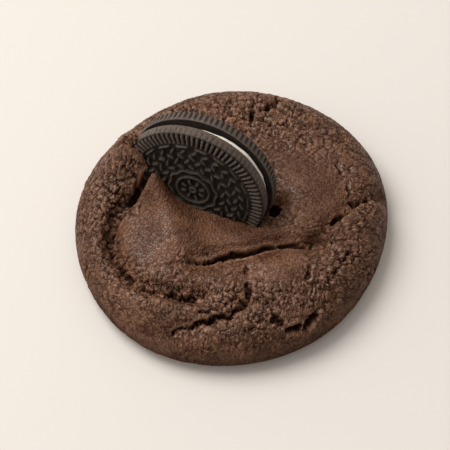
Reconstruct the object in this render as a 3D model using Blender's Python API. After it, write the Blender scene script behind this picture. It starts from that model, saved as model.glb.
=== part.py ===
"""Large soft-baked chocolate cookie with a sandwich biscuit pressed into its top.

Metres, +Z up. The cookie stands on its flat underside at z = 0, centred on the Z axis.
The biscuit stands on edge in a slot across the cookie and leans a little backwards.
"""
import bmesh
import bpy
import numpy as np
from math import cos, pi, radians, sin

MM = 0.001
GAP = 0.3 * MM                      # air between neighbouring pieces
SMOOTH_ANGLE = 40                   # degrees between faces that still shade as one surface

# Cookie: outline, rounded rim and the level of its top
COOKIE_RADIUS = 46.0 * MM
OUTLINE_WAVES = (                   # (waves round the edge, swell, direction of a crest)
    (2, 1.4 * MM, 53),
    (3, 0.25 * MM, 35),
    (5, 0.25 * MM, 21),
)
RIM_WIDTH = 9.5 * MM
RIM_WAIST = 5.0 * MM                # height of the widest edge
RIM_TUCK = 50                       # how far the edge curls in below its widest, degrees
CENTRE_LEVEL = 17.0 * MM
LEVEL_DROP = 1.5 * MM               # from the centre to where the rim starts to round
FLAT_SHARE = 0.66                   # share of the grid spent on the top inside the rim
GRID_CELLS = 52

# Swellings of the dough: (x, y, height, length, width, direction in degrees), mm
MOUNDS = (
    (-15.5, -10.5, 3.1, 8.0, 7.0, 115),
    (-21.0, 2.6, 6.4, 6.8, 3.5, 115),
    (-29.0, 10.8, 19.5, 7.2, 6.0, 125),
    (5.0, -12.5, 0.8, 10.0, 3.5, 5),
    (23.0, 5.5, 1.5, 11.0, 9.0, 60),
    (14.0, -21.0, 1.2, 8.0, 4.5, 10),
    (-22.0, -31.0, 0.8, 9.0, 5.0, -35),
    (-37.5, -3.0, 1.2, 12.0, 4.0, 90),
)

# Furrows: route (x, y in mm), half-width, depth, and the lip on the left of the route
FURROWS = (
    (((-9.6, -30.3), (-17.3, -28.8), (-24.9, -27.3), (-30.6, -23.9), (-35, -17.1),
      (-35.6, -9.5), (-33.5, -2.5), (-30.5, 0.5), (-27, 2.5), (-24, 5.5)), 3.0, 2.6, 0.6),
    (((-11.5, -20.2), (-5.8, -19.1), (2.4, -17.6), (8.8, -15.7), (17.7, -14.3),
      (25.9, -13.4)), 2.8, 2.6, 1.2),
    (((22.7, -13.4), (27.8, -8.2), (34.8, 0.1), (39.2, 2.8), (44.3, 5.4)), 2.8, 2.2, 0.0),
    (((4.3, -22.3), (4.6, -27.4), (0.5, -36.8), (-6.5, -40.2), (-15.4, -41.9)),
     2.8, 1.6, 0.0),
    (((2.4, 25.1), (5.6, 32.6), (10.7, 35.7), (13.8, 40.1)), 2.8, 1.2, 0.0),
)

ROUTE_STEPS = 6                     # stretches of a smoothed route between two of its points

# Sandwich biscuit: two wafers round a thin layer of cream
WAFER_RADIUS = 21.6 * MM
WAFER_THICKNESS = 4.2 * MM
WAFER_WALL = 3.5 * MM               # height of the wafer's straight wall
WAFER_SHOULDER = 0.6 * MM           # from the wall in to where the ribs start
RIB_COUNT = 82
RIB_DEPTH = 0.45 * MM
RIB_BAND = 3.5 * MM                 # from the wall in to where the ribs end
FIELD_DEPTH = 0.6 * MM              # the wafer's field lies this far below the ribs
FIELD_SLOPE = 0.7 * MM              # radial width of the step down to the field
BACK_WAFER_SLIP = (0.55 * MM, 0.25 * MM)    # the back wafer sits a little askew
CREAM_THICKNESS = 1.5 * MM
CREAM_RADIUS = 18.6 * MM
CREAM_BULGE = 2.6 * MM              # squeezed out on one side, almost to the wafers' edge
CREAM_BULGE_DIRECTION = 50          # degrees on the biscuit's face, from its right end
CREAM_TAPER = 1.0 * MM              # the cream draws back from the back wafer
CREAM_SIDES = 56
BISCUIT_CENTRE = (-9.2 * MM, 5.0 * MM, 23.5 * MM)
BISCUIT_TURN = 22                   # degrees about Z, away from facing the front
BISCUIT_LEAN = 8.5                  # degrees, leaning backwards
SLOT_SIDES = 72
CUTTER_OVERLAP = 0.6 * MM           # the two halves of the slot run into each other


def clear_scene():
    for item in list(bpy.data.objects):
        bpy.data.objects.remove(item, do_unlink=True)


def make_material(name, colour, roughness):
    material = bpy.data.materials.new(name)
    material.use_nodes = True
    shader = material.node_tree.nodes["Principled BSDF"]
    shader.inputs["Base Color"].default_value = (*colour, 1.0)
    shader.inputs["Roughness"].default_value = roughness
    shader.inputs["Metallic"].default_value = 0.0
    return material


def add_object(name, shape, material, parent=None):
    """Turn a bmesh into a scene object with its faces pointing out."""
    bmesh.ops.recalc_face_normals(shape, faces=shape.faces[:])
    mesh = bpy.data.meshes.new(name)
    shape.to_mesh(mesh)
    shape.free()
    item = bpy.data.objects.new(name, mesh)
    bpy.context.scene.collection.objects.link(item)
    if material:
        mesh.materials.append(material)
    mesh.shade_smooth()
    mesh.set_sharp_from_angle(angle=radians(SMOOTH_ANGLE))
    item.parent = parent
    return item


def outline_radius(angle):
    """Radius of the cookie's widest edge, in a direction seen from above."""
    radius = COOKIE_RADIUS + 0.0 * angle
    for waves, swell, crest in OUTLINE_WAVES:
        radius = radius + swell * np.cos(waves * (angle - radians(crest)))
    return radius


def bell(x, y, centre_x, centre_y, length, width, direction):
    """Smooth bump of height 1, longer along its direction than across it."""
    turn = radians(direction)
    along = (x - centre_x) * cos(turn) + (y - centre_y) * sin(turn)
    across = (y - centre_y) * cos(turn) - (x - centre_x) * sin(turn)
    return np.exp(-(along / length) ** 2 - (across / width) ** 2)


def top_level(x, y):
    """Height of the dough before the rim rounds it off."""
    distance = np.hypot(x, y) / (COOKIE_RADIUS - RIM_WIDTH)
    level = CENTRE_LEVEL - LEVEL_DROP * distance ** 2
    for mound_x, mound_y, height, length, width, direction in MOUNDS:
        level = level + height * MM * bell(
            x, y, mound_x * MM, mound_y * MM, length * MM, width * MM, direction)
    return level


def skin(reach, angle):
    """Point and outward direction on the cookie's skin.

    The reach runs from 0 at the top's centre to 1 where the edge meets the table.
    """
    radius = outline_radius(angle)
    inner = radius - RIM_WIDTH
    turn_in = np.clip((reach - FLAT_SHARE) / (1 - FLAT_SHARE), 0, 1)
    tilt = radians(90) - turn_in * radians(90 + RIM_TUCK)
    distance = inner * np.minimum(reach / FLAT_SHARE, 1) + RIM_WIDTH * np.cos(tilt)
    x = distance * np.cos(angle)
    y = distance * np.sin(angle)
    upper = RIM_WAIST + (top_level(x, y) - RIM_WAIST) * np.sin(tilt)
    lower = RIM_WAIST * (1 + np.sin(tilt) / sin(radians(RIM_TUCK)))
    z = np.where(tilt > 0, upper, lower)
    facing = np.stack([np.cos(tilt) * np.cos(angle), np.cos(tilt) * np.sin(angle),
                       np.sin(tilt)], axis=-1)
    return np.stack([x, y, z], axis=-1), facing


def drop_on_skin(x, y):
    """The skin's point above a place on the table."""
    angle = np.arctan2(y, x)
    distance = np.hypot(x, y)
    radius = outline_radius(angle)
    over_rim = np.clip((distance - (radius - RIM_WIDTH)) / RIM_WIDTH, 0, 1)
    sine = np.sqrt(1 - over_rim ** 2)
    return np.array([x, y, RIM_WAIST + (top_level(x, y) - RIM_WAIST) * sine])


def smooth_route(points, steps=ROUTE_STEPS):
    """Catmull-Rom curve through a furrow's points, laid on the skin."""
    flat = np.array(points) * MM
    ends = np.vstack([2 * flat[0] - flat[1], flat, 2 * flat[-1] - flat[-2]])
    route = []
    for index in range(len(flat) - 1):
        a, b, c, d = ends[index:index + 4]
        for step in range(steps):
            t = step / steps
            spot = 0.5 * (2 * b + (c - a) * t + (2 * a - 5 * b + 4 * c - d) * t ** 2
                          + (3 * b - a - 3 * c + d) * t ** 3)
            route.append(drop_on_skin(*spot))
    route.append(drop_on_skin(*flat[-1]))
    return np.array(route)


def furrow_depth(points, route, half_width, depth, lip):
    """How far the skin sinks at each point, beside one furrow."""
    nearest = np.full(len(points), np.inf)
    side = np.zeros(len(points))
    for start, end in zip(route[:-1], route[1:]):
        run = end - start
        offset = points - start
        share = np.clip(offset @ run / (run @ run), 0, 1)
        away = offset - share[:, None] * run
        gap = np.linalg.norm(away, axis=1)
        closer = gap < nearest
        nearest[closer] = gap[closer]
        side[closer] = (run[0] * offset[closer, 1] - run[1] * offset[closer, 0])
    sunk = depth * np.exp(-(nearest / half_width) ** 2)
    beside = (nearest / (2 * half_width)) ** 2
    swollen = lip * beside * np.exp(1 - beside)
    return sunk - np.where(side > 0, swollen, 0)


def square_to_disc(u, v):
    """Map a square grid onto a disc so that its cells stay evenly sized."""
    reach = np.maximum(np.abs(u), np.abs(v))
    safe = np.where(reach > 0, reach, 1)
    wide = np.abs(u) >= np.abs(v)
    angle = np.where(wide, (pi / 4) * v / safe, pi / 2 - (pi / 4) * u / safe)
    flipped = np.where(wide, u < 0, v < 0)
    angle = np.where(wide & flipped, pi - (pi / 4) * v / safe, angle)
    angle = np.where(~wide & flipped, -pi / 2 + (pi / 4) * u / safe, angle)
    return reach, angle


def cookie_points():
    """The skin's points, row by row over the square grid."""
    ticks = np.linspace(-1, 1, GRID_CELLS + 1)
    u, v = np.meshgrid(ticks, ticks)
    reach, angle = square_to_disc(u.ravel(), v.ravel())
    points, facing = skin(reach, angle)
    sunk = np.zeros(len(points))
    for route, half_width, depth, lip in FURROWS:
        sunk += furrow_depth(points, smooth_route(route), half_width * MM, depth * MM,
                             lip * MM)
    base_grip = np.clip(points[:, 2] / RIM_WAIST, 0, 1)
    points = points - (sunk * base_grip)[:, None] * facing
    points[reach >= 1, 2] = 0.0
    return points


def make_cookie(material):
    shape = bmesh.new()
    verts = [shape.verts.new(point) for point in cookie_points()]
    side = GRID_CELLS + 1
    for row in range(GRID_CELLS):
        for column in range(GRID_CELLS):
            first = row * side + column
            a, b, c, d = (verts[first + step] for step in (0, 1, side + 1, side))
            if abs(a.co.z - c.co.z) < abs(b.co.z - d.co.z):     # follow the contour
                halves = ((a, b, c), (a, c, d))
            else:
                halves = ((a, b, d), (b, c, d))
            for half in halves:
                shape.faces.new(half)
    rim = [edge for edge in shape.edges if edge.is_boundary]
    bmesh.ops.contextual_create(shape, geom=rim)
    return add_object("cookie", shape, material)


def turn_rings(rings, columns, radius_of, height_of):
    """Closed turned solid whose rings may vary from column to column."""
    shape = bmesh.new()
    loops = []
    for ring in rings:
        loop = []
        for column in range(columns):
            angle = 2 * pi * column / columns
            radius = radius_of(ring, column)
            loop.append(shape.verts.new(
                (radius * cos(angle), radius * sin(angle), height_of(ring, column))))
        loops.append(loop)
    for lower, upper in zip(loops[:-1], loops[1:]):
        for column in range(columns):
            after = (column + 1) % columns
            shape.faces.new((lower[column], lower[after], upper[after], upper[column]))
    shape.faces.new(loops[0])
    shape.faces.new(loops[-1])
    return shape


def make_wafer(name, material, parent, place, flipped):
    """Wafer with a ribbed border round a sunken field, its cream side at local z = 0."""
    field = WAFER_THICKNESS - FIELD_DEPTH
    rings = (                       # (radius, height, share of the rib depth in a groove)
        (WAFER_RADIUS, 0.0, 0.0),
        (WAFER_RADIUS, WAFER_WALL, 0.0),
        (WAFER_RADIUS - WAFER_SHOULDER, WAFER_THICKNESS, 1.0),
        (WAFER_RADIUS - RIB_BAND, WAFER_THICKNESS, 1.0),
        (WAFER_RADIUS - RIB_BAND - FIELD_SLOPE, field, 0.0),
    )
    shape = turn_rings(
        rings, 2 * RIB_COUNT,
        lambda ring, column: ring[0],
        lambda ring, column: ring[1] - RIB_DEPTH * ring[2] * (column % 2))
    wafer = add_object(name, shape, material, parent)
    wafer.location = place
    wafer.rotation_euler.x = pi if flipped else 0.0
    return wafer


def make_cream(material, parent):
    """Cream disc that bulges out to one side, and draws back from the back wafer."""
    half = CREAM_THICKNESS / 2
    rings = ((-CREAM_TAPER, -half), (0.0, -half / 3), (0.0, half))

    def reach(ring, column):
        angle = 2 * pi * column / CREAM_SIDES - radians(CREAM_BULGE_DIRECTION)
        return CREAM_RADIUS + ring[0] + CREAM_BULGE * max(0.0, cos(angle)) ** 1.5

    shape = turn_rings(rings, CREAM_SIDES, reach, lambda ring, column: ring[1])
    return add_object("cream", shape, material, parent)


def make_slot_cutter(name, parent, slip, facing):
    """Disc a little larger than one wafer, from the biscuit's middle past that wafer."""
    shape = bmesh.new()
    depth = CREAM_THICKNESS / 2 + WAFER_THICKNESS + 2 * GAP
    bmesh.ops.create_cone(shape, cap_ends=True, segments=SLOT_SIDES,
                          radius1=WAFER_RADIUS + GAP, radius2=WAFER_RADIUS + GAP,
                          depth=depth + CUTTER_OVERLAP)
    cutter = add_object(name, shape, None, parent)
    cutter.location = (*slip, facing * (depth - CUTTER_OVERLAP) / 2)
    cutter.hide_render = True
    cutter.display_type = "WIRE"
    return cutter


def cut_slot(cookie, cutters):
    for cutter in cutters:
        cut = cookie.modifiers.new(cutter.name, "BOOLEAN")
        cut.operation = "DIFFERENCE"
        cut.solver = "EXACT"
        cut.object = cutter


def add_biscuit_axis():
    """Empty at the middle of the biscuit, its local Z pointing out of the front wafer."""
    axis = bpy.data.objects.new("biscuit_axis", None)
    bpy.context.scene.collection.objects.link(axis)
    axis.location = BISCUIT_CENTRE
    axis.rotation_euler = (radians(90 - BISCUIT_LEAN), 0, radians(-BISCUIT_TURN))
    return axis


def build():
    clear_scene()
    dough = make_material("dough", (0.113, 0.063, 0.042), 0.75)
    baked = make_material("dark_wafer", (0.018, 0.012, 0.009), 0.6)
    filling = make_material("cream", (0.78, 0.72, 0.64), 0.55)
    axis = add_biscuit_axis()
    stack = CREAM_THICKNESS / 2 + GAP
    make_wafer("wafer_front", baked, axis, (0, 0, stack), False)
    make_wafer("wafer_back", baked, axis, (*BACK_WAFER_SLIP, -stack), True)
    make_cream(filling, axis)
    cookie = make_cookie(dough)
    cut_slot(cookie, (make_slot_cutter("slot_front", axis, (0, 0), 1),
                      make_slot_cutter("slot_back", axis, BACK_WAFER_SLIP, -1)))
    bpy.context.view_layer.update()


build()
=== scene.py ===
import math

import bmesh
import bpy
import numpy as np
from mathutils import Matrix, Vector
from mathutils.bvhtree import BVHTree


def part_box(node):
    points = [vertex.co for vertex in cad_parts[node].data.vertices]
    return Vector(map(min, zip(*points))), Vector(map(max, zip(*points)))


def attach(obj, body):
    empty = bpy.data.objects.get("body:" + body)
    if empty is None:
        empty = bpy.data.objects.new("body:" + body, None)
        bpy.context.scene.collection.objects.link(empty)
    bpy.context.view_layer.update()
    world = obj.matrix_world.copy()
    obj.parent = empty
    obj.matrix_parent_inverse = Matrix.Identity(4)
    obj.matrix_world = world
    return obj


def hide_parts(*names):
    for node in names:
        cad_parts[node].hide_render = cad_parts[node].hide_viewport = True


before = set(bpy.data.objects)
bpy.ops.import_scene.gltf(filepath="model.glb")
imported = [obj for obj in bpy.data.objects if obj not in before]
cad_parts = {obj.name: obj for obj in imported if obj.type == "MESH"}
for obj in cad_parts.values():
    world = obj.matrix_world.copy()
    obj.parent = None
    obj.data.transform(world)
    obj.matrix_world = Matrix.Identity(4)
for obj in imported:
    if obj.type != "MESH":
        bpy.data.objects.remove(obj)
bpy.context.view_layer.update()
mm = 0.001
print("frame loaded:", ", ".join(sorted(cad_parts)))


# ---- small helpers for node trees and meshes

def setSockets(tree, node, values):
    for key, value in values.items():
        socket = node.inputs[key]
        if isinstance(value, bpy.types.NodeSocket):
            tree.links.new(value, socket)
        elif socket.type == "RGBA":
            socket.default_value = (*value, 1)
        else:
            socket.default_value = value


def put(tree, kind, inputs=None, **settings):
    node = tree.nodes.new(kind)
    for key, value in settings.items():
        setattr(node, key, value)
    setSockets(tree, node, inputs or {})
    return node


def calc(tree, operation, *values, clamp=False):
    inputs = dict(enumerate(values))
    return put(tree, "ShaderNodeMath", inputs, operation=operation, use_clamp=clamp).outputs[0]


def chain(tree, operation, values):
    total = values[0]
    for value in values[1:]:
        total = calc(tree, operation, total, value)
    return total


def times(tree, *values):
    return chain(tree, "MULTIPLY", values)


def plus(tree, *values):
    return chain(tree, "ADD", values)


def minus(tree, *values):
    return chain(tree, "SUBTRACT", values)


def vector(tree, operation, *values):
    node = put(tree, "ShaderNodeVectorMath", dict(enumerate(values)), operation=operation)
    return node.outputs["Value" if operation in ("LENGTH", "DISTANCE", "DOT_PRODUCT") else "Vector"]


def scaled(tree, arrow, length):
    return put(tree, "ShaderNodeVectorMath", {0: arrow, "Scale": length}, operation="SCALE").outputs[0]


def along(tree, place, axis):
    return put(tree, "ShaderNodeSeparateXYZ", {"Vector": place}).outputs[axis]


def fade(tree, value, start, end, low=0.0, high=1.0):
    node = put(tree, "ShaderNodeMapRange",
               {"Value": value, "From Min": start, "From Max": end, "To Min": low, "To Max": high},
               interpolation_type="SMOOTHSTEP")
    return node.outputs["Result"]


def noiseAt(tree, place, scale, detail=2.0, roughness=0.5):
    return put(tree, "ShaderNodeTexNoise", {"Vector": place, "Scale": scale, "Detail": detail,
                                            "Roughness": roughness}).outputs


def cellsAt(tree, place, scale, feature="F1"):
    return put(tree, "ShaderNodeTexVoronoi", {"Vector": place, "Scale": scale}, feature=feature).outputs


def addSockets(tree, sockets):
    for name, kind, way, value in sockets:
        socket = tree.interface.new_socket(name, in_out=way, socket_type=kind)
        if value is not None:
            socket.default_value = value


def geometryTree(name, inputs):
    tree = bpy.data.node_groups.new(name, "GeometryNodeTree")
    addSockets(tree, [("Geometry", "NodeSocketGeometry", "INPUT", None)])
    addSockets(tree, [(label, kind, "INPUT", value) for label, kind, value in inputs])
    addSockets(tree, [("Geometry", "NodeSocketGeometry", "OUTPUT", None)])
    return tree, tree.nodes.new("NodeGroupInput").outputs


def stored(tree, name):
    return put(tree, "GeometryNodeInputNamedAttribute", {"Name": name}, data_type="FLOAT").outputs[0]


def keep(tree, geometry, name, value):
    return put(tree, "GeometryNodeStoreNamedAttribute",
               {"Geometry": geometry, "Name": name, "Value": value},
               data_type="FLOAT", domain="POINT").outputs[0]


def moved(tree, geometry, offset):
    return put(tree, "GeometryNodeSetPosition", {"Geometry": geometry, "Offset": offset}).outputs[0]


def closeTree(tree, geometry, material):
    whole = put(tree, "GeometryNodeRealizeInstances", {"Geometry": geometry}).outputs[0]
    dressed = put(tree, "GeometryNodeSetMaterial", {"Geometry": whole, "Material": material})
    put(tree, "NodeGroupOutput", {"Geometry": dressed.outputs[0]})


def newMaterial(name):
    material = bpy.data.materials.new(name)
    material.use_nodes = True
    return material, material.node_tree, material.node_tree.nodes["Principled BSDF"]


def meshObject(name, points, faces):
    mesh = bpy.data.meshes.new(name)
    mesh.from_pydata([tuple(point) for point in points], [], faces)
    mesh.update()
    piece = bpy.data.objects.new(name, mesh)
    bpy.context.scene.collection.objects.link(piece)
    return piece


def storeValues(piece, name, values):
    layer = piece.data.attributes.new(name, "FLOAT", "POINT")
    layer.data.foreach_set("value", np.asarray(values, dtype=np.float32))


def bakeTree(piece, tree, settings):
    work = piece.modifiers.new(tree.name, "NODES")
    work.node_group = tree
    for item in tree.interface.items_tree:
        if item.in_out == "INPUT" and item.name in settings:
            work[item.identifier] = settings[item.name]
    return applyAll(piece)


def applyAll(piece):
    graph = bpy.context.evaluated_depsgraph_get()
    solid = bpy.data.meshes.new_from_object(piece.evaluated_get(graph),
                                            preserve_all_data_layers=True, depsgraph=graph)
    piece.modifiers.clear()
    spare = piece.data
    piece.data = solid
    bpy.data.meshes.remove(spare)
    solid.name = piece.name
    return piece


def countTriangles(piece):
    return sum(len(face.vertices) - 2 for face in piece.data.polygons)


# ---- camera, lights and floor

cameraSet = {
    "elevation": 57,          # degrees above the table
    "distance": 1.0,
    "view": 0.1317,           # width of the table that the view takes in
    "aim": (-0.00196, 0.0033),  # right and up from the cookie's centre, in the view
    "sensor": 36,
    "clip": (0.05, 20),
}


def addCamera():
    lift = math.radians(cameraSet["elevation"])
    back = Vector((0, -math.cos(lift), math.sin(lift)))
    up = Vector((0, math.sin(lift), math.cos(lift)))
    right, rise = cameraSet["aim"]
    data = bpy.data.cameras.new("camera")
    data.sensor_width = cameraSet["sensor"]
    data.lens = data.sensor_width * cameraSet["distance"] / cameraSet["view"]
    data.clip_start, data.clip_end = cameraSet["clip"]
    camera = bpy.data.objects.new("camera", data)
    camera.location = back * cameraSet["distance"] + Vector((right, 0, 0)) + up * rise
    camera.rotation_euler = (math.radians(90) - lift, 0, 0)
    bpy.context.scene.collection.objects.link(camera)
    bpy.context.scene.camera = camera


lightSet = {
    "key": {"place": (-0.44, 0.25, 0.85), "size": 0.72, "power": 8.25, "colour": (1.0, 0.975, 0.945)},
    "fill": {"place": (-0.85, -0.05, 0.42), "size": 0.8, "power": 1.0, "colour": (1.0, 0.985, 0.965)},
    "sky": (1.0, 0.955, 0.90),
    "skyFacing": (-0.65, 0.40, 0.62),
    "skySpread": (-0.5, 1.0),        # where between those two it starts and ends to brighten
    "skyStrength": (0.20, 0.70),     # opposite that direction, and towards it
}


def addAreaLight(name, look):
    data = bpy.data.lights.new(name, "AREA")
    data.shape = "DISK"
    data.size = look["size"]
    data.energy = look["power"]
    data.color = look["colour"]
    lamp = bpy.data.objects.new(name, data)
    lamp.location = look["place"]
    lamp.rotation_euler = (-Vector(look["place"])).to_track_quat("-Z", "Y").to_euler()
    bpy.context.scene.collection.objects.link(lamp)


def addLights():
    addAreaLight("keyLight", lightSet["key"])
    addAreaLight("fillLight", lightSet["fill"])
    world = bpy.data.worlds.new("softSky")
    world.use_nodes = True
    tree = world.node_tree
    towards = vector(tree, "DOT_PRODUCT", put(tree, "ShaderNodeTexCoord").outputs["Generated"],
                     Vector(lightSet["skyFacing"]).normalized())
    strength = fade(tree, towards, *lightSet["skySpread"], *lightSet["skyStrength"])
    setSockets(tree, tree.nodes["Background"], {"Color": lightSet["sky"], "Strength": strength})
    bpy.context.scene.world = world
    bpy.context.scene.view_settings.view_transform = "Standard"


floorSet = {
    "half": 1.2, "colour": (0.692, 0.659, 0.629), "roughness": 0.7, "specular": 0.2,
    "paintedGlow": (0.054, 0.046, 0.037),       # painted glow: an even emission from the table that lightens the cookie's shadows on it
}


def addFloor():
    half = floorSet["half"]
    floor = meshObject("tableTop", [(-half, -half, 0), (half, -half, 0), (half, half, 0),
                                    (-half, half, 0)], [(0, 1, 2, 3)])
    paint, tree, shader = newMaterial("paleTable")
    # the emission is a painted glow that lifts the shadows on the table
    setSockets(tree, shader, {
        "Base Color": floorSet["colour"], "Roughness": floorSet["roughness"],
        "Emission Color": floorSet["paintedGlow"], "Emission Strength": 1.0,
        "Specular IOR Level": floorSet["specular"]})
    floor.data.materials.append(paint)


addCamera()
addLights()
addFloor()
print("camera, lights and table ready")


# ---- shader groups shared by the materials

def shaderGroup(name, inputs, outputs):
    tree = bpy.data.node_groups.new(name, "ShaderNodeTree")
    addSockets(tree, [(label, kind, "INPUT", value) for label, kind, value in inputs])
    addSockets(tree, [(label, kind, "OUTPUT", None) for label, kind in outputs])
    return tree, tree.nodes.new("NodeGroupInput").outputs


def buildSpeckle():
    tree, given = shaderGroup("bakedSpeckle", [
        ("Vector", "NodeSocketVector", None), ("Size", "NodeSocketFloat", 0.0008),
        ("Contrast", "NodeSocketFloat", 1.0)],
        [("Fine", "NodeSocketFloat"), ("Broad", "NodeSocketFloat")])
    scale = calc(tree, "DIVIDE", 1.0, given["Size"])
    fine = noiseAt(tree, given["Vector"], scale, 3.0, 0.6)["Fac"]
    broad = noiseAt(tree, given["Vector"], calc(tree, "DIVIDE", scale, 11.0))["Fac"]
    spread = times(tree, given["Contrast"], 0.22)
    put(tree, "NodeGroupOutput", {
        "Fine": fade(tree, fine, minus(tree, 0.5, spread), plus(tree, 0.5, spread)),
        "Broad": fade(tree, broad, 0.35, 0.65)})
    return tree


speckle = buildSpeckle()


def speckleAt(tree, place, size, contrast=1.0):
    return put(tree, "ShaderNodeGroup", {"Vector": place, "Size": size, "Contrast": contrast},
               node_tree=speckle).outputs


def mixColour(tree, share, first, second):
    return put(tree, "ShaderNodeMix", {0: share, 6: first, 7: second}, data_type="RGBA").outputs[2]


def bumpFrom(tree, height, distance, strength, normal=None):
    inputs = {"Strength": strength, "Distance": distance, "Height": height}
    if normal is not None:
        inputs["Normal"] = normal
    return put(tree, "ShaderNodeBump", inputs).outputs["Normal"]


doughLook = {
    "dark": (0.058, 0.0190, 0.0072),
    "light": (0.325, 0.158, 0.090),
    # painted shade colour for cracks, hollows and the gaps between grains
    "creviceShade": (0.014, 0.0040, 0.0011),
    "roughness": (0.30, 0.50),
    "specular": 0.14,
    "sheen": 1.0,            # strength of the baked gloss on what stands up
    "sheenRoughness": 0.40,
    "crumb": 0.00090,         # size of the speckle in the colour
    "grit": 0.00050,          # size of the finest grain, everywhere
    "gritHeight": 0.00028,
    "grain": 0.00145,         # size of the flat grains where the skin is crumbly
    "flake": 0.00270,         # and of the larger flakes
    "patch": 0.0055,          # size of the patches of one or the other
    "bend": 0.0019,           # how far their edges wander
    "grainHeight": 0.00036,
}


def makeDoughMaterial():
    material, tree, shader = newMaterial("chocolateDough")
    place = put(tree, "ShaderNodeTexCoord").outputs["Object"]
    cavity, rise, crumbly = (put(tree, "ShaderNodeAttribute", attribute_name=name).outputs["Fac"]
                             for name in ("cavity", "rise", "grain"))
    crumb = speckleAt(tree, place, doughLook["crumb"])

    def dots(size):
        cell = cellsAt(tree, place, 1 / size)
        return fade(tree, cell["Distance"], 0.12, 0.72, 1.0, 0.0), along(tree, cell["Color"], "X")

    level = along(tree, place, "Z")
    fineDot, fineChance = dots(doughLook["grit"])
    chance = dots(doughLook["grain"])[1]
    bend = noiseAt(tree, place, 1 / doughLook["grain"])["Color"]
    bent = vector(tree, "MULTIPLY_ADD", bend, (doughLook["bend"],) * 3, place)

    def splits(size, width):      # thin gaps between flat grains of one size
        edge = cellsAt(tree, bent, 1 / size, "DISTANCE_TO_EDGE")["Distance"]
        return fade(tree, edge, 0.25 * width, width, 1.0, 0.0)

    often = noiseAt(tree, place, 1 / doughLook["patch"], 3.0)["Fac"]
    small = times(tree, splits(doughLook["grain"], 0.15), fade(tree, often, 0.40, 0.62, 0.15, 0.85))
    large = times(tree, splits(doughLook["flake"], 0.09), fade(tree, often, 0.55, 0.42, 0.0, 0.75))
    gaps = times(tree, calc(tree, "MAXIMUM", small, large), fade(tree, crumbly, 0.1, 0.9),
                 fade(tree, level, 0.004, 0.012, 0.3, 1.0))
    # tone: random speckle and grain, plus a painted highlight that makes raised parts lighter
    tone = calc(tree, "MULTIPLY_ADD", crumb["Fine"], 0.20, times(tree, crumb["Broad"], 0.18))
    for value, share in ((fineDot, 0.18), (fineChance, 0.14), (rise, 0.34),
                         (times(tree, chance, crumbly), 0.14)):
        tone = calc(tree, "ADD", tone, times(tree, value, share), clamp=True)
    colour = mixColour(tree, fade(tree, tone, 0.06, 0.92), doughLook["dark"], doughLook["light"])
    # painted shade: darkest in cracks and hollows, lighter in the gaps between grains, and darker towards
    # the bottom of the edge
    paintedShade = chain(tree, "MAXIMUM", (times(tree, cavity, 0.92), times(tree, gaps, 0.75),
                                     fade(tree, level, 0.002, 0.013, 0.60, 0.0)))
    rough, dull = doughLook["roughness"]
    dry = calc(tree, "MAXIMUM", fade(tree, chance, 0, 1, dull, rough), fade(tree, paintedShade, 0.1, 0.6))
    gloss = times(tree, minus(tree, 1.0, paintedShade), fade(tree, level, 0.007, 0.016))
    glint = times(tree, fade(tree, fineChance, 0.25, 0.90, 0.25, 1.1), fineDot)
    gloss = calc(tree, "MULTIPLY", gloss, calc(tree, "MULTIPLY_ADD", rise, 0.6, glint), clamp=True)
    coarse = bumpFrom(tree, minus(tree, 1.0, gaps), doughLook["grainHeight"], 1.0)
    height = plus(tree, times(tree, crumb["Fine"], 0.6), fineDot)
    setSockets(tree, shader, {
        "Base Color": mixColour(tree, paintedShade, colour, doughLook["creviceShade"]),
        "Roughness": dry,
        "Specular IOR Level": doughLook["specular"],
        "Coat Weight": times(tree, gloss, doughLook["sheen"]),
        "Coat Roughness": doughLook["sheenRoughness"],
        "Normal": bumpFrom(tree, height, doughLook["gritHeight"], 0.9, coarse)})
    return material


waferLook = {
    "dark": (0.0046, 0.0026, 0.0016),
    "light": (0.066, 0.0480, 0.0370),
    # dust colour, also used as a painted highlight on crests, relief and the wall
    "dustAndHighlight": (0.185, 0.142, 0.116),
    "roughness": (0.42, 0.62),
    "specular": 0.22,
    "crumb": 0.00050,
    "gritHeight": 0.00012,
}


def makeWaferMaterial():
    material, tree, shader = newMaterial("darkWafer")
    place = put(tree, "ShaderNodeTexCoord").outputs["Object"]
    rise = put(tree, "ShaderNodeAttribute", attribute_name="rise").outputs["Fac"]
    crumb = speckleAt(tree, place, waferLook["crumb"], 1.1)
    tone = calc(tree, "MULTIPLY_ADD", crumb["Fine"], 0.35, times(tree, crumb["Broad"], 0.15))
    # raised relief, rib crests and the wall are painted lighter, a painted highlight, and partly mixed to
    # dust
    tone = calc(tree, "ADD", tone, times(tree, rise, 0.5), clamp=True)
    colour = mixColour(tree, tone, waferLook["dark"], waferLook["light"])
    dustAndHighlightMask = times(tree, fade(tree, rise, 0.55, 1.0), fade(tree, crumb["Fine"], 0.0, 1.0, 0.35, 1.0))
    rough, dull = waferLook["roughness"]
    setSockets(tree, shader, {
        "Base Color": mixColour(tree, times(tree, dustAndHighlightMask, 0.5), colour, waferLook["dustAndHighlight"]),
        "Roughness": calc(tree, "MAXIMUM", fade(tree, crumb["Fine"], 0, 1, dull, rough),
                          fade(tree, rise, 0.05, 0.4, 1.0, 0.0)),
        "Specular IOR Level": waferLook["specular"],
        "Normal": bumpFrom(tree, crumb["Fine"], waferLook["gritHeight"], 0.35)})
    return material


creamLook = {
    "shade": (0.74, 0.66, 0.57), "light": (0.90, 0.86, 0.79), "roughness": 0.5,
    "depth": 0.0006,          # how far light goes in
    "crumb": 0.00070, "gritHeight": 0.00010,
}


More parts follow.
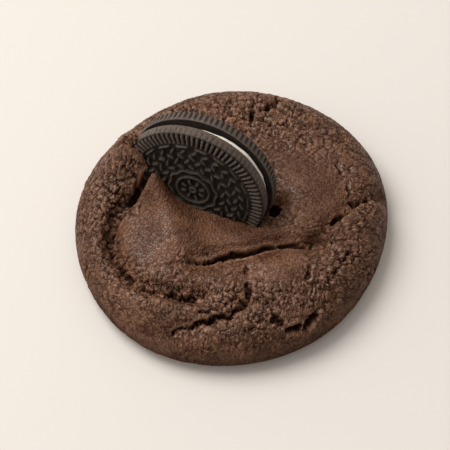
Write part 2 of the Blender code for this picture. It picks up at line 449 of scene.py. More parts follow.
def makeCreamMaterial():
    material, tree, shader = newMaterial("sugarCream")
    place = put(tree, "ShaderNodeTexCoord").outputs["Object"]
    crumb = speckleAt(tree, place, creamLook["crumb"])
    setSockets(tree, shader, {
        "Base Color": mixColour(tree, crumb["Fine"], creamLook["shade"], creamLook["light"]),
        "Roughness": creamLook["roughness"],
        "Subsurface Weight": 0.25,
        "Subsurface Radius": (1.0, 0.8, 0.6),
        "Subsurface Scale": creamLook["depth"],
        "Normal": bumpFrom(tree, crumb["Fine"], creamLook["gritHeight"], 0.3)})
    return material


doughMaterial = makeDoughMaterial()
waferMaterial = makeWaferMaterial()
creamMaterial = makeCreamMaterial()
print("materials ready")


# ---- the cookie's large form, all sizes in mm

cookieForm = {
    "radius": 45.85,
    "waves": ((2, 1.4, 53), (3, 0.25, 35), (5, 0.25, 21)),   # (count, swell, direction of a crest)
    "rimWidth": 9.5,
    "waist": 5.0,             # height of the widest edge
    "tuck": 50,               # degrees that the edge curls in below its widest
    "centre": 17.0,
    "drop": 1.5,
    "flatShare": 0.66,
    "cells": 300,
    "flatBelow": -0.995,      # faces that look down more than this stay flat
    # (x, y, height, length, width, direction)
    "mounds": (
        (-17.0, -10.5, 3.3, 8.6, 8.0, 115),
        (-22.6, 5.2, 9.0, 8.5, 4.5, 114),
        (-29.9, 11.3, 19.0, 7.0, 6.0, 125),
        (5.0, -12.5, 0.8, 10.0, 3.5, 5),
        (23.0, 5.5, 1.5, 11.0, 9.0, 60),
        (14.0, -21.0, 1.2, 8.0, 4.5, 10),
        (-22.0, -31.0, 0.8, 9.0, 5.0, -35),
        (-37.5, -3.0, 1.2, 12.0, 4.0, 90),
        (13.4, 0.2, -4.5, 3.4, 2.1, 60),
    ),
    # (route, half-width, depth, lip on the left of the route, how far that lip leans over)
    "furrows": (
        (((-9.6, -30.3), (-17.3, -28.8), (-24.0, -27.2), (-28.6, -23.6), (-32.2, -18.6),
          (-34.4, -14.0), (-35.0, -10.5)), 2.6, 3.9, 0.9, 0.4),
        (((-33.9, -5.8), (-32.9, -2.5), (-30.5, 0.5), (-27, 2.5), (-23.4, 5.5)), 2.3, 3.3, 0.6, 0.3),
        (((-10.4, -18.9), (-5.2, -18.0), (2.4, -16.3), (8.8, -14.3), (17.7, -12.9),
          (25.5, -12.0)), 3.0, 2.4, 0.6, 0.9),
        (((23.6, -11.4), (28.4, -6.0), (34.4, 1.2), (38.8, 4.4), (44.1, 7.2)), 2.4, 2.2, 0.0, 0.0),
        (((4.3, -22.3), (4.6, -27.4), (0.6, -36.0), (-6.8, -38.6), (-15.8, -40.8)),
         2.4, 1.6, 0.0, 0.0),
        (((2.4, 25.1), (5.6, 32.6), (10.7, 35.7), (13.8, 40.1)), 2.4, 1.2, 0.0, 0.0),
    ),
}


def outlineRadius(angle):
    radius = cookieForm["radius"]
    for count, swell, crest in cookieForm["waves"]:
        radius = radius + swell * np.cos(count * (angle - math.radians(crest)))
    return radius


def bell(x, y, spot):
    middleX, middleY, height, length, width, direction = spot
    turn = math.radians(direction)
    along = (x - middleX) * math.cos(turn) + (y - middleY) * math.sin(turn)
    across = (y - middleY) * math.cos(turn) - (x - middleX) * math.sin(turn)
    return height * np.exp(-(along / length) ** 2 - (across / width) ** 2)


def topLevel(x, y):
    inside = cookieForm["radius"] - cookieForm["rimWidth"]
    level = cookieForm["centre"] - cookieForm["drop"] * (np.hypot(x, y) / inside) ** 2
    return level + sum(bell(x, y, spot) for spot in cookieForm["mounds"])


def doughSkin(reach, angle):      # reach: 0 at the middle of the top, 1 where the edge meets the table
    waist, rimWidth, share = (cookieForm[key] for key in ("waist", "rimWidth", "flatShare"))
    tuck = math.radians(cookieForm["tuck"])
    turned = np.clip((reach - share) / (1 - share), 0, 1)
    tilt = math.pi / 2 - turned * (math.pi / 2 + tuck)
    inner = outlineRadius(angle) - rimWidth
    distance = inner * np.minimum(reach / share, 1) + rimWidth * np.cos(tilt)
    x, y = distance * np.cos(angle), distance * np.sin(angle)
    upper = waist + (topLevel(x, y) - waist) * np.sin(tilt)
    lower = waist * (1 + np.sin(tilt) / math.sin(tuck))
    outward = np.stack([np.cos(tilt) * np.cos(angle), np.cos(tilt) * np.sin(angle),
                        np.sin(tilt)], axis=-1)
    return np.stack([x, y, np.where(tilt > 0, upper, lower)], axis=-1), outward


def squareToDisc(u, v):
    reach = np.maximum(np.abs(u), np.abs(v))
    safe = np.where(reach > 0, reach, 1)
    quarter = math.pi / 4
    wide = np.abs(u) >= np.abs(v)
    angle = np.where(wide, quarter * v / safe, 2 * quarter - quarter * u / safe)
    angle = np.where(wide & (u < 0), 4 * quarter - quarter * v / safe, angle)
    return reach, np.where(~wide & (v < 0), quarter * u / safe - 2 * quarter, angle)


def curveThrough(points, step):
    flat = np.array(points, dtype=float)
    ends = np.vstack([2 * flat[0] - flat[1], flat, 2 * flat[-1] - flat[-2]])
    line = []
    for index in range(len(flat) - 1):
        a, b, c, d = ends[index:index + 4]
        pieces = max(2, int(np.linalg.norm(c - b) / step))
        for t in np.arange(pieces) / pieces:
            line.append(0.5 * (2 * b + (c - a) * t + (2 * a - 5 * b + 4 * c - d) * t ** 2
                               + (3 * b - a - 3 * c + d) * t ** 3))
    return np.array(line + [flat[-1]])


def skinBelow(line):
    waist, rimWidth = cookieForm["waist"], cookieForm["rimWidth"]
    x, y = line[:, 0], line[:, 1]
    edge = outlineRadius(np.arctan2(y, x)) - rimWidth
    over = np.clip((np.hypot(x, y) - edge) / rimWidth, 0, 1)
    z = waist + (topLevel(x, y) - waist) * np.sqrt(1 - over ** 2)
    return np.column_stack([x, y, z])


def pressFurrow(points, outward, furrow):
    route, halfWidth, depth, lip, lean = furrow
    line = skinBelow(curveThrough(route, 1.5))
    nearest = np.full(len(points), np.inf)
    side = np.zeros(len(points))
    towards = np.zeros_like(points)
    for start, end in zip(line[:-1], line[1:]):
        run = end - start
        offset = points - start
        share = np.clip(offset @ run / (run @ run), 0, 1)
        away = offset - share[:, None] * run
        gap = np.linalg.norm(away, axis=1)
        closer = gap < nearest
        nearest[closer] = gap[closer]
        side[closer] = (run[0] * offset[:, 1] - run[1] * offset[:, 0])[closer]
        towards[closer] = -away[closer] / np.maximum(gap[closer], 1e-6)[:, None]
    left = side > 0
    sunk = depth * np.exp(-(nearest / halfWidth) ** 2)
    beside = (nearest / (2 * halfWidth)) ** 2
    ridge = np.where(left, beside * np.exp(1 - beside), 0)
    moved = -(sunk - lip * ridge)[:, None] * outward
    return moved + (lean * ridge)[:, None] * towards


def makeCookieForm():
    cells = cookieForm["cells"]
    ticks = np.linspace(-1, 1, cells + 1)
    u, v = np.meshgrid(ticks, ticks)
    reach, angle = squareToDisc(u.ravel(), v.ravel())
    points, outward = doughSkin(reach, angle)
    moved = sum(pressFurrow(points, outward, furrow) for furrow in cookieForm["furrows"])
    grip = np.clip(points[:, 2] / cookieForm["waist"], 0, 1)
    points = points + moved * grip[:, None]
    points[reach >= 1, 2] = 0
    row = cells + 1
    corner = (np.arange(cells)[:, None] * row + np.arange(cells)).ravel()
    faces = np.stack([corner, corner + 1, corner + row + 1, corner + row], axis=-1).tolist()
    bottom = [*range(row), *range(2 * row - 1, row * row, row),
              *range(row * row - 2, row * (row - 1) - 1, -1), *range(row * (row - 2), 0, -row)]
    return meshObject("cookieCrust", points * mm, faces + [bottom[::-1]])


cookie = makeCookieForm()
print("cookie form:", countTriangles(cookie), "triangles")


# ---- its baked skin: cracks, crumbly grain and pores

crackSet = {
    # (route, half-width, depth) in mm
    "routes": (
        (((-23.2, 6.0), (-25.4, 3.9), (-28.0, 2.2), (-30.0, 0.2)), 1.2, 1.9),
        (((-29.6, -1.0), (-31.2, -2.0), (-32.6, -4.4), (-33.6, -6.2)), 0.9, 1.7),
        (((-33.4, -7.4), (-34.4, -9.4), (-35.2, -11.2), (-34.4, -13.4), (-33.2, -16.4)), 0.7, 1.1),
        (((-32.6, -17.8), (-30.6, -20.8), (-28.4, -24.0), (-25.6, -26.6), (-21.7, -28.1)), 0.8, 1.4),
        (((-19.0, -28.0), (-16.0, -29.4), (-12.4, -29.2), (-9.6, -30.3)), 0.9, 1.3),
        (((-10.4, -18.9), (-8.0, -19.0), (-5.2, -17.9), (-2.0, -16.7), (1.0, -16.0),
          (3.6, -15.9), (6.4, -15.0), (10.0, -13.8), (13.2, -13.3)), 0.95, 2.1),
        (((12.4, -13.4), (16.0, -12.7), (19.2, -12.6), (22.0, -12.4)), 0.8, 1.3),
        (((28.4, -5.6), (30.2, -3.4), (32.0, -1.8), (34.6, 0.0)), 0.9, 1.6),
        (((33.8, 2.0), (36.4, 2.2), (38.2, 3.6), (39.4, 5.6)), 1.1, 1.9),
        (((30.2, 14.8), (31.4, 13.0), (31.6, 11.0)), 0.8, 0.8),
        (((33.6, 6.6), (34.0, 4.6), (33.8, 3.0)), 0.7, 0.8),
        (((39.8, 6.4), (42.0, 6.8), (43.8, 7.8)), 0.7, 1.0),
        (((3.7, -19.5), (4.0, -22.0), (4.4, -24.6)), 0.6, 0.8),
        (((4.4, -25.2), (4.8, -27.4), (4.2, -29.4), (3.7, -31.1)), 1.0, 1.9),
        (((3.9, -30.2), (2.4, -33.6), (0.8, -35.8)), 1.1, 2.3),
        (((1.0, -35.8), (-1.6, -36.8), (-4.4, -37.2), (-7.2, -38.3), (-10.0, -38.4),
          (-12.5, -39.3)), 0.9, 2.0),
        (((-11.8, -39.0), (-14.4, -39.4), (-16.4, -40.4)), 0.7, 1.2),
        (((5.0, 28.9), (5.6, 32.6), (7.2, 34.9)), 1.1, 2.2),
        (((8.0, 34.6), (10.7, 35.7), (11.6, 37.2), (13.8, 39.5), (14.6, 42.0)), 1.2, 2.3),
        (((5.0, 28.9), (3.7, 26.6), (2.4, 25.1)), 0.9, 1.2),
        (((-3.0, 35.0), (0.4, 33.2), (3.2, 33.8)), 0.7, 0.8),
        (((11.3, -3.4), (12.2, -1.4), (13.1, 1.4)), 1.7, 2.7),
        (((-44.0, 2.0), (-42.4, 3.0), (-40.8, 4.4)), 0.7, 1.1),
        (((-41.6, -6.3), (-40.2, -4.8), (-38.6, -4.0)), 0.7, 1.2),
        (((-38.4, 13.4), (-36.4, 13.4), (-34.6, 12.2), (-31.8, 10.8), (-29.6, 8.4)), 0.6, 0.9),
        (((22.4, -19.7), (21.8, -22.7), (20.8, -25.7)), 0.8, 1.3),
        (((34.2, -14.5), (32.6, -16.6), (31.6, -18.3), (30.4, -19.4)), 0.8, 1.3),
        (((30.0, -21.4), (28.9, -23.2), (27.2, -25.8)), 0.7, 0.9),
        (((41.1, -11.9), (41.4, -16.0), (39.2, -19.2), (39.9, -22.4)), 0.8, 1.2),
        (((39.4, -24.0), (37.8, -26.6), (36.2, -30.6)), 0.8, 1.0),
        (((25.3, -33.7), (23.6, -34.8), (22.4, -36.6), (20.9, -38.6)), 1.7, 2.8),
        (((20.2, -38.2), (17.8, -39.0), (15.2, -39.6)), 1.6, 2.6),
        (((14.2, -38.6), (12.8, -37.2), (11.2, -36.4)), 1.7, 2.5),
        (((-41.4, -16.4), (-43.0, -18.3), (-44.4, -19.6)), 0.8, 1.3),
    ),
}

skinSet = {
    "Wobble Size": 0.0030, "Wobble Reach": 0.0015,
    "Lump Size": 0.0052, "Lump Height": 0.0012,
    "Plate Size": 0.0030, "Plate Step": 0.00050, "Gap Depth": 0.00085,
    "Grain Size": 0.00170, "Grain Height": 0.00078,
    "Net Size": 0.0060, "Net Depth": 0.0009,
    "Pore Size": 0.0022, "Pore Depth": 0.0008,
    "Swell Size": 0.0080, "Swell Height": 0.00040,
    "Crumbly Patch": 0.0090, "Platy Patch": 0.0130, "Net Patch": 0.0120,
    "Left Side": 1.25, "Right Side": 0.85,      # how rough, as a share
}

# Where the skin stays smooth: (x, y, strength, length, width, direction) in mm
smoothSpots = (
    (-16.0, -6.5, 1.0, 13.5, 8.2, 112),
    (-25.0, -14.5, 0.8, 10.0, 5.4, 100),
    (-30.3, -10.5, 0.7, 8.0, 3.2, 98),
    (-17.0, -20.0, 0.35, 6.0, 5.0, 0),
    (-5.0, -9.0, 0.9, 13.0, 5.0, -12),
    (-4.0, -4.6, 0.95, 11.0, 3.6, -14),
    (8.0, -12.5, 0.95, 14.0, 4.2, 4),
    (-22.5, 3.0, 0.8, 7.0, 4.5, 114),
    (22.5, 8.0, 1.0, 14.0, 10.0, 60),
    (26.5, -0.5, 0.95, 7.5, 5.0, 50),
    (13.0, 17.0, 0.6, 7.0, 3.5, -40),
    (14.0, -21.5, 0.95, 10.5, 5.6, 6),
    (-4.0, -24.0, 0.45, 6.0, 4.5, 0),
    (-16.0, -34.0, 0.35, 10.0, 3.0, -15),
)


def makeCrackGuide(cookie):
    tree = BVHTree.FromObject(cookie, bpy.context.evaluated_depsgraph_get())
    points, widths, depths = [], [], []
    for route, halfWidth, depth in crackSet["routes"]:
        line = curveThrough(route, 0.15)
        share = np.linspace(0, 1, len(line))
        taper = np.clip(np.minimum(share, 1 - share) * 6, 0, 1) ** 0.5
        for (x, y), thin in zip(line * mm, taper):
            spot = tree.ray_cast(Vector((x, y, 0.1)), Vector((0, 0, -1)))[0]
            if spot is not None:
                points.append(spot)
                widths.append(halfWidth * (0.45 + 0.55 * thin) * mm)
                depths.append(depth * thin * mm)
    guide = meshObject("crackGuide", points, [])
    storeValues(guide, "halfWidth", widths)
    storeValues(guide, "depth", depths)
    return guide


def buildSkinTree(guide, material):
    tree, given = geometryTree("bakedSkin", [
        (name, "NodeSocketFloat", value) for name, value in skinSet.items()])
    place = put(tree, "GeometryNodeInputPosition").outputs[0]
    normal = put(tree, "GeometryNodeInputNormal").outputs[0]

    grain = stored(tree, "grain")

    def noise(size, detail=2.0, shift=0.0):
        where = vector(tree, "ADD", place, (shift, shift, shift)) if shift else place
        return noiseAt(tree, where, calc(tree, "DIVIDE", 1.0, size), detail, 0.55)

    def cells(size, where=place, feature="F1"):
        return cellsAt(tree, where, calc(tree, "DIVIDE", 1.0, size), feature)

    def anyOf(cell):
        return along(tree, cell["Color"], "X")

    def offCentre(colour, reach):
        return scaled(tree, vector(tree, "SUBTRACT", colour, (0.5, 0.5, 0.5)), reach)

    wide = offCentre(noise(given["Wobble Size"])["Color"], times(tree, given["Wobble Reach"], 2.6))
    tight = offCentre(noise(times(tree, given["Wobble Size"], 0.3))["Color"], given["Wobble Reach"])
    steady = calc(tree, "MULTIPLY_ADD", grain, 0.75, 0.25)
    wandering = vector(tree, "ADD", place, scaled(tree, vector(tree, "ADD", wide, tight), steady))
    trembling = vector(tree, "ADD", place, tight)

    # cracks: depth falls off with the distance to the guide's nearest point
    lines = put(tree, "GeometryNodeObjectInfo", {"Object": guide}).outputs["Geometry"]
    index = put(tree, "GeometryNodeSampleNearest",
                {"Geometry": lines, "Sample Position": wandering}, domain="POINT").outputs[0]

    def fromGuide(value, kind="FLOAT"):
        return put(tree, "GeometryNodeSampleIndex", {"Geometry": lines, "Index": index, "Value": value},
                   data_type=kind, domain="POINT").outputs[0]

    depth = fromGuide(stored(tree, "depth"))
    away = calc(tree, "DIVIDE",
                vector(tree, "DISTANCE", wandering, fromGuide(place, "FLOAT_VECTOR")),
                fromGuide(stored(tree, "halfWidth")))
    split = fade(tree, away, 0.15, 1.0, 1.0, 0.0)
    curl = times(tree, fade(tree, away, 0.9, 1.4), fade(tree, away, 1.5, 3.2, 1.0, 0.0), depth, 0.16)

    # how crumbly the skin is: calm on the smooth swellings, uneven elsewhere
    patch = fade(tree, noise(given["Crumbly Patch"], shift=0.3)["Fac"], 0.36, 0.60, 0.35, 1.0)
    crumbly = times(tree, grain, patch)

    # plates that stand at their own levels, with gaps between them
    plate = cells(given["Plate Size"], wandering)
    border = cells(given["Plate Size"], wandering, "DISTANCE_TO_EDGE")["Distance"]
    platy = fade(tree, noise(given["Platy Patch"], shift=0.5)["Fac"], 0.42, 0.54)
    gap = times(tree, fade(tree, border, 0.02, 0.12, 1.0, 0.0), crumbly,
                calc(tree, "MULTIPLY_ADD", platy, 0.75, 0.25))
    step = times(tree, minus(tree, anyOf(plate), 0.5), crumbly)

    # grains of two sizes
    def grains(size, where):
        cell = cells(size, where)
        dome = fade(tree, cell["Distance"], 0.12, 0.72, 1.0, 0.0)
        return times(tree, dome, calc(tree, "MULTIPLY_ADD", anyOf(cell), 0.6, 0.55))

    coarse = grains(given["Grain Size"], trembling)
    fine = grains(times(tree, given["Grain Size"], 0.58), place)
    bumps = plus(tree, times(tree, coarse, 0.70), times(tree, fine, 0.30))
    bumpHeight = times(tree, given["Grain Height"], calc(tree, "MULTIPLY_ADD", crumbly, 0.90, 0.10),
                       calc(tree, "MULTIPLY_ADD", platy, -0.55, 1.0))

    # wandering cracks between larger fields
    border = cells(given["Net Size"], wandering, "DISTANCE_TO_EDGE")["Distance"]
    opened = fade(tree, noise(given["Net Patch"], shift=0.7)["Fac"], 0.46, 0.60)
    net = times(tree, fade(tree, border, 0.012, 0.075, 1.0, 0.0), opened, grain)

    # scattered pores
    pits = cells(given["Pore Size"])
    pore = times(tree, fade(tree, pits["Distance"], 0.10, 0.36, 1.0, 0.0),
                 fade(tree, anyOf(pits), 0.80, 0.86), calc(tree, "MULTIPLY_ADD", grain, 0.8, 0.2))

    swell = minus(tree, noise(given["Swell Size"], 3.0)["Fac"], 0.5)
    lump = minus(tree, noise(given["Lump Size"], shift=0.1)["Fac"], 0.5)
    ups = (times(tree, swell, given["Swell Height"]), times(tree, lump, given["Lump Height"], crumbly),
           times(tree, step, given["Plate Step"]), times(tree, minus(tree, bumps, 0.5), bumpHeight), curl)
    downs = (times(tree, gap, given["Gap Depth"]), times(tree, net, given["Net Depth"]),
             times(tree, pore, given["Pore Depth"]))
    height = minus(tree, plus(tree, *ups), *downs)
    level = along(tree, place, "Z")
    radial = vector(tree, "LENGTH", vector(tree, "MULTIPLY", place, (1, 1, 0)))
    rougher = fade(tree, along(tree, place, "X"), -0.034, 0.034, given["Left Side"], given["Right Side"])
    height = times(tree, height, rougher, fade(tree, radial, 0.037, 0.044, 1.0, 0.35))
    height = minus(tree, height, times(tree, split, depth))
    height = times(tree, height, fade(tree, level, 0.0, 0.002), fade(tree, level, 0.002, 0.012, 0.42, 1.0))

    # what lies below its surroundings or in a crack is kept as painted shade, what stands above them as
    # painted highlight, for the colour
    shaped = keep(tree, given["Geometry"], "height", height)
    height = stored(tree, "height")
    near = put(tree, "GeometryNodeBlurAttribute", {"Value": height, "Iterations": 6},
               data_type="FLOAT").outputs[0]
    relief = minus(tree, height, near)
    sunk = calc(tree, "MAXIMUM", fade(tree, relief, -0.00004, -0.00040), times(tree, split, 0.9))
    shaped = keep(tree, shaped, "cavity", sunk)
    shaped = keep(tree, shaped, "rise", fade(tree, relief, -0.00005, 0.00025))
    closeTree(tree, moved(tree, shaped, scaled(tree, normal, height)), material)
    return tree


def paintGrain(cookie):
    points = np.empty(len(cookie.data.vertices) * 3)
    cookie.data.vertices.foreach_get("co", points)
    x, y = points[0::3] / mm, points[1::3] / mm
    calm = sum(bell(x, y, spot) for spot in smoothSpots)
    storeValues(cookie, "grain", np.clip(1 - calm, 0, 1))


paintGrain(cookie)
guide = makeCrackGuide(cookie)
bakeTree(cookie, buildSkinTree(guide, doughMaterial), skinSet)
bpy.data.objects.remove(guide)
print("baked skin:", countTriangles(cookie), "triangles")


# ---- sandwich biscuit: two embossed wafers round the cream, sizes in mm

biscuitSeat = {"turn": 22, "lean": 8.5}     # degrees, as the CAD biscuit stands
waferShape = {
    "radius": 21.5,
    "thickness": 4.1,
    "field": 3.45,            # level of the sunken field
    "foot": 0.35,             # rounding at the cream side
    "shoulder": 1.2,          # rounding between wall and face
    "ribs": 82,
    "ribBand": 3.6,
    "columnsPerRib": 8,
    "fieldRings": 92,
    "slope": 0.7,             # width of the step down to the field
}


def seatMatrix(flipped):
    turn = Matrix.Rotation(math.radians(-biscuitSeat["turn"]), 4, "Z")
    lean = Matrix.Rotation(math.radians(90 - biscuitSeat["lean"]), 4, "X")
    return turn @ lean @ Matrix.Rotation(math.pi if flipped else 0, 4, "X")


def seatOnNode(piece, node, flipped=False):
    piece.data.transform(seatMatrix(flipped))
    low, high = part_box(node)
    points = np.empty(len(piece.data.vertices) * 3)
    piece.data.vertices.foreach_get("co", points)
    points = points.reshape(-1, 3)
    middle = (points.min(axis=0) + points.max(axis=0)) / 2
    piece.data.transform(Matrix.Translation((Vector(low) + Vector(high)) / 2 - Vector(middle)))


def waferProfile():
    radius, top, field = (waferShape[key] for key in ("radius", "thickness", "field"))
    band, foot, shoulder = (waferShape[key] for key in ("ribBand", "foot", "shoulder"))
    rings = [(share * (radius - foot), 0.0) for share in (0.02, 0.35, 0.7, 0.9, 0.97)]
    for degrees in np.linspace(-90, 0, 5):
        turn = math.radians(degrees)
        rings.append((radius - foot + foot * math.cos(turn), foot + foot * math.sin(turn)))
    rings += [(radius, z) for z in np.linspace(foot, top - shoulder, 9)[1:-1]]
    for degrees in np.linspace(0, 90, 9):
        turn = math.radians(degrees)
        rings.append((radius - shoulder + shoulder * math.cos(turn),
                      top - shoulder + shoulder * math.sin(turn)))
    inner = radius - band
    rings += [(x, top) for x in np.linspace(radius - shoulder - 0.15, inner, 14)]
    rings += [(inner - waferShape["slope"] * t, top - (top - field) * (3 * t * t - 2 * t ** 3))
              for t in np.linspace(0.12, 1, 7)]
    rings += [(x, field) for x in np.linspace(inner - 0.9, 0.1, waferShape["fieldRings"])]
    return rings


def turnedMesh(name, rings, columns):      # rings of (radius, level), from the underside up
    angle = 2 * math.pi * np.arange(columns) / columns
    points = [np.column_stack([radius * np.cos(angle), radius * np.sin(angle),
                               np.full(columns, level)]) for radius, level in rings]
    faces = []
    for ring in range(len(rings) - 1):
        here = ring * columns + np.arange(columns)
        after = ring * columns + (np.arange(columns) + 1) % columns
        faces += np.stack([here, after, after + columns, here + columns], axis=-1).tolist()
    last = (len(rings) - 1) * columns
    faces += [list(range(columns))[::-1], list(range(last, last + columns))]
    return meshObject(name, np.vstack(points) * mm, faces)


def buildMotifRow():
    tree = bpy.data.node_groups.new("motifRow", "GeometryNodeTree")
    addSockets(tree, [(name, "NodeSocketFloat", "INPUT", value) for name, value in (
        ("Distance", 0.0), ("Turn", 0.0), ("Radius", 12.0), ("Count", 24.0), ("Offset", 0.0),
        ("Long", 1.0), ("Wide", 0.5), ("Slant", 0.0), ("Power", 2.0))])
    addSockets(tree, [("Height", "NodeSocketFloat", "OUTPUT", None)])
    given = tree.nodes.new("NodeGroupInput").outputs
    step = calc(tree, "MULTIPLY_ADD", given["Turn"], given["Count"], given["Offset"])
    place = minus(tree, calc(tree, "FRACT", step), 0.5)
    across = calc(tree, "DIVIDE", times(tree, place, given["Radius"]), given["Count"])
    across = times(tree, across, 2 * math.pi)
    out = minus(tree, given["Distance"], given["Radius"])
    cosine, sine = calc(tree, "COSINE", given["Slant"]), calc(tree, "SINE", given["Slant"])
    longSide = plus(tree, times(tree, across, cosine), times(tree, out, sine))
    wideSide = minus(tree, times(tree, out, cosine), times(tree, across, sine))

    def powered(side, half):
        share = calc(tree, "ABSOLUTE", calc(tree, "DIVIDE", side, half))
        return calc(tree, "POWER", share, given["Power"])

    total = plus(tree, powered(longSide, given["Long"]), powered(wideSide, given["Wide"]))
    size = calc(tree, "POWER", total, calc(tree, "DIVIDE", 1.0, given["Power"]))
    put(tree, "NodeGroupOutput", {"Height": fade(tree, size, 0.62, 1.12, 1.0, 0.0)})
    return tree


reliefSet = {
    "Rib Depth": 0.00120, "Relief Height": 0.00105, "Grit Height": 0.00018,
    "Ribs": float(waferShape["ribs"]), "Radius": waferShape["radius"], "Rib Band": waferShape["ribBand"],
    "Wall Ribs": 0.05, "Wall Stripes": 0.1,      # each wafer has its own two
}

motifSet = {
    # (radius, count, offset, half-length round, half-width outwards, slant in degrees, power)
    "rows": (
        (2.9, 8, 0.0, 0.50, 1.15, 0, 3.0),
        (9.2, 17, 0.0, 1.35, 0.52, 40, 2.5),
        (11.2, 21, 0.5, 1.35, 0.52, -40, 2.5),
        (13.1, 24, 0.2, 1.40, 0.52, 40, 2.5),
        (15.0, 27, 0.6, 1.35, 0.50, -40, 2.5),
        (17.0, 18, 0.25, 2.3, 0.34, 0, 6.0),
    ),
    # (radius, half-width, waves, wave height)
    "circles": ((0.8, 0.55, 1, 0.0), (5.0, 0.50, 1, 0.0), (7.2, 0.50, 10, 0.30)),
    "gritScale": 1900.0,
}


def buildReliefTree(material):
    tree, given = geometryTree("waferRelief", [
        (name, "NodeSocketFloat", value) for name, value in reliefSet.items()])
    place = put(tree, "GeometryNodeInputPosition").outputs[0]
    normal = put(tree, "GeometryNodeInputNormal").outputs[0]
    x, y, z = (calc(tree, "DIVIDE", along(tree, place, axis), mm) for axis in "XYZ")
    distance = calc(tree, "SQRT", plus(tree, times(tree, x, x), times(tree, y, y)))
    turn = calc(tree, "DIVIDE", calc(tree, "ARCTAN2", y, x), 2 * math.pi)
    top, edge = waferShape["thickness"], given["Radius"]

    # ribs round the edge
    swing = calc(tree, "COSINE", times(tree, turn, given["Ribs"], 2 * math.pi))
    groove = fade(tree, swing, -0.35, 0.75)
    inner = minus(tree, edge, given["Rib Band"])
    onFace = fade(tree, distance, minus(tree, edge, 0.10), minus(tree, edge, 0.55),
                  given["Wall Ribs"], 1.0)
    band = times(tree, fade(tree, distance, minus(tree, inner, 0.25), plus(tree, inner, 0.35)),
                 times(tree, onFace, fade(tree, z, 0.1 * top, 0.4 * top)))

    # rows of motifs and circles on the field
    motif = buildMotifRow()
    heights = []
    for radius, count, offset, half, wide, slant, power in motifSet["rows"]:
        inputs = {"Distance": distance, "Turn": turn, "Radius": radius, "Count": count,
                  "Offset": offset, "Long": half, "Wide": wide, "Slant": math.radians(slant),
                  "Power": power}
        heights.append(put(tree, "GeometryNodeGroup", inputs, node_tree=motif).outputs[0])
    for radius, half, waves, wave in motifSet["circles"]:
        sway = calc(tree, "SINE", times(tree, turn, 2 * math.pi * waves))
        away = calc(tree, "ABSOLUTE", minus(tree, distance, radius, times(tree, sway, wave)))
        heights.append(fade(tree, away, half * 0.4, half * 1.3, 1.0, 0.0))
    relief = times(tree, chain(tree, "MAXIMUM", heights), fade(tree, z, 2.6, 3.0))

    grit = noiseAt(tree, place, motifSet["gritScale"], 3.0)["Fac"]
    height = minus(tree, times(tree, relief, given["Relief Height"]),
                   times(tree, times(tree, groove, band), given["Rib Depth"]))
    height = plus(tree, height, times(tree, minus(tree, grit, 0.55), given["Grit Height"]))
    out = moved(tree, given["Geometry"], scaled(tree, normal, height))

    # raised relief, rib crests and the wall are kept for the colour: dust and painted highlight, with
    # painted shade in stripes down the wall
    crest = times(tree, minus(tree, 1.0, groove), band)
    # painted shade of the wall's ribs, in stripes
    stripes = times(tree, fade(tree, swing, -0.6, 0.9),
                    times(tree, fade(tree, z, 0.0, 0.3 * top), given["Wall Stripes"]))
    onWall = times(tree, fade(tree, z, top - 0.3, top - 1.1),
                   fade(tree, distance, minus(tree, edge, 0.25), edge), minus(tree, 1.0, stripes))
    dustAndHighlightMask = chain(tree, "MAXIMUM", (times(tree, relief, 0.75), onWall, crest))
    closeTree(tree, keep(tree, out, "rise", dustAndHighlightMask), material)
    return tree


reliefTree = buildReliefTree(waferMaterial)
for name, node, flipped, wallRibs, stripes in (("frontWafer", "wafer_front", False, 0.05, 0.1),
                                               ("backWafer", "wafer_back", True, 0.14, 0.55)):
    wafer = turnedMesh(name, waferProfile(), waferShape["ribs"] * waferShape["columnsPerRib"])
    bakeTree(wafer, reliefTree, {**reliefSet, "Wall Ribs": wallRibs, "Wall Stripes": stripes})
    wafer.data.shade_smooth()
    seatOnNode(wafer, node, flipped)
    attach(wafer, "root")
    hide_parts(node)
    print(name + ":", countTriangles(wafer), "triangles")


creamShape = {
    "radius": 18.6,
    "bulge": 2.75,
    "direction": 34,          # degrees, where it bulges out
    "half": 1.0,              # half of its thickness
    "columns": 240,
    "waves": ((7, 0.10, 1.0), (17, 0.07, 0.0), (31, 0.04, 0.0)),     # (count, height, shift)
    # (inset from the edge, level as a share of the half thickness)
    "profile": (
        (18.5, -1), (12.0, -1), (6.0, -1), (3.0, -1), (2.0, -0.95), (1.2, -0.75), (0.6, -0.5),
        (0.2, -0.2), (0.02, 0.15), (0.0, 0.5), (0.06, 0.8), (0.25, 1), (3.0, 1), (6.0, 1),
        (12.0, 1), (18.5, 1),
    ),
}


def makeCream():
    columns = creamShape["columns"]
    angle = 2 * math.pi * np.arange(columns) / columns
    swell = np.clip(np.cos(angle - math.radians(creamShape["direction"])), 0, 1) ** 1.5
    edge = creamShape["radius"] + creamShape["bulge"] * swell
    for count, height, shift in creamShape["waves"]:
        edge = edge + height * np.sin(count * angle + shift)
    rings = [(edge - inset, level * creamShape["half"]) for inset, level in creamShape["profile"]]
    cream = turnedMesh("creamLayer", rings, columns)
    cream.data.materials.append(creamMaterial)
    cream.data.shade_smooth()
    seatOnNode(cream, "cream")
    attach(cream, "root")
    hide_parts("cream")
    return cream


cream = makeCream()
print("cream:", countTriangles(cream), "triangles")


# ---- the slot that the biscuit stands in

slotSet = {
    "gap": 0.12,
    "behind": 1.6,            # how far the cut goes on into the cream's place
    "sides": 180,
}


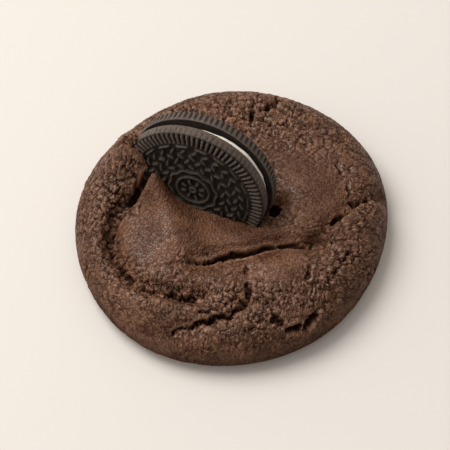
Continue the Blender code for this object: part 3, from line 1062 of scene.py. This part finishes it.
def cutSlot(cookie):
    gap, behind, thickness = slotSet["gap"], slotSet["behind"], waferShape["thickness"]
    radius = (waferShape["radius"] + gap) * mm
    depth = (thickness + gap + behind) * mm
    for node, flipped in (("wafer_front", False), ("wafer_back", True)):
        form = bmesh.new()
        bmesh.ops.create_cone(form, cap_ends=True, segments=slotSet["sides"], radius1=radius,
                              radius2=radius, depth=depth)
        bmesh.ops.translate(form, verts=form.verts, vec=(0, 0, depth / 2 - behind * mm))
        mesh = bpy.data.meshes.new("slotCutter")
        form.to_mesh(mesh)
        form.free()
        mesh.transform(seatMatrix(flipped))
        low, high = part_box(node)
        middle = (Vector(low) + Vector(high)) / 2
        outward = seatMatrix(flipped) @ Vector((0, 0, 1))
        mesh.transform(Matrix.Translation(middle - outward * thickness / 2 * mm))
        cutter = bpy.data.objects.new("slotCutter", mesh)
        bpy.context.scene.collection.objects.link(cutter)
        cut = cookie.modifiers.new("slot", "BOOLEAN")
        cut.operation = "DIFFERENCE"
        cut.solver = "MANIFOLD"
        cut.object = cutter
        applyAll(cookie)
        bpy.data.objects.remove(cutter)


cutSlot(cookie)
cookie.data.shade_smooth()
for face in cookie.data.polygons:
    face.use_smooth = face.normal.z > cookieForm["flatBelow"]
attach(cookie, "root")
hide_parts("cookie")
print("cookie with its slot:", countTriangles(cookie), "triangles")


# ---- loose crumbs, half sunk in the crumbly skin

crumbSet = {
    "Spacing": 0.0011, "Density": 420000.0, "Seed": 7,
    "Smallest": 0.00022, "Largest": 0.00060, "Patch Size": 0.0075,
    "Bend Scale": 1500.0, "Bend Reach": 0.00055,      # what makes the balls crooked
}


def buildCrumbTree(material):
    tree, given = geometryTree("looseCrumbs", [
        (name, "NodeSocketInt" if name == "Seed" else "NodeSocketFloat", value)
        for name, value in crumbSet.items()])
    place = put(tree, "GeometryNodeInputPosition").outputs[0]
    patch = noiseAt(tree, place, calc(tree, "DIVIDE", 1.0, given["Patch Size"]))["Fac"]
    radial = vector(tree, "LENGTH", vector(tree, "MULTIPLY", place, (1, 1, 0)))
    onTop = times(tree, fade(tree, along(tree, place, "Z"), 0.008, 0.012),
                  fade(tree, radial, 0.0375, 0.041, 1.0, 0.0))
    chance = times(tree, fade(tree, patch, 0.42, 0.62, 0.05, 1.0),
                   times(tree, fade(tree, stored(tree, "grain"), 0.55, 0.95), onTop))
    spots = put(tree, "GeometryNodeDistributePointsOnFaces",
                {"Mesh": given["Geometry"], "Distance Min": given["Spacing"],
                 "Density Max": given["Density"], "Density Factor": chance, "Seed": given["Seed"]},
                distribute_method="POISSON")
    turn = put(tree, "FunctionNodeRandomValue", {"Max": (6.283, 6.283, 6.283), "Seed": given["Seed"]},
               data_type="FLOAT_VECTOR")
    pick = put(tree, "FunctionNodeRandomValue", {2: 0.0, 3: 1.0, "Seed": given["Seed"]}, data_type="FLOAT")
    size = calc(tree, "POWER", pick.outputs[1], 2.2)
    size = calc(tree, "MULTIPLY_ADD", size, minus(tree, given["Largest"], given["Smallest"]),
                given["Smallest"])
    ball = put(tree, "GeometryNodeMeshIcoSphere", {"Radius": 1.0, "Subdivisions": 2})
    crumbs = put(tree, "GeometryNodeInstanceOnPoints",
                 {"Points": spots.outputs["Points"], "Instance": ball.outputs["Mesh"],
                  "Rotation": turn.outputs[0], "Scale": size})
    whole = put(tree, "GeometryNodeRealizeInstances", {"Geometry": crumbs.outputs[0]}).outputs[0]
    bend = noiseAt(tree, place, given["Bend Scale"], 1.0)["Color"]
    push = scaled(tree, vector(tree, "SUBTRACT", bend, (0.5, 0.5, 0.5)), given["Bend Reach"])
    whole = moved(tree, whole, push)
    # crumbs take the painted highlight of raised parts, and count as a little crumbly
    for name, value in (("rise", 0.55), ("grain", 0.25)):
        whole = keep(tree, whole, name, value)
    closeTree(tree, whole, material)
    return tree


def makeCrumbs(cookie):
    crumbs = bpy.data.objects.new("doughCrumbs", cookie.data.copy())
    bpy.context.scene.collection.objects.link(crumbs)
    bakeTree(crumbs, buildCrumbTree(doughMaterial), crumbSet)
    crumbs.data.shade_smooth()
    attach(crumbs, "root")
    return crumbs


crumbs = makeCrumbs(cookie)
print("crumbs:", countTriangles(crumbs), "triangles")
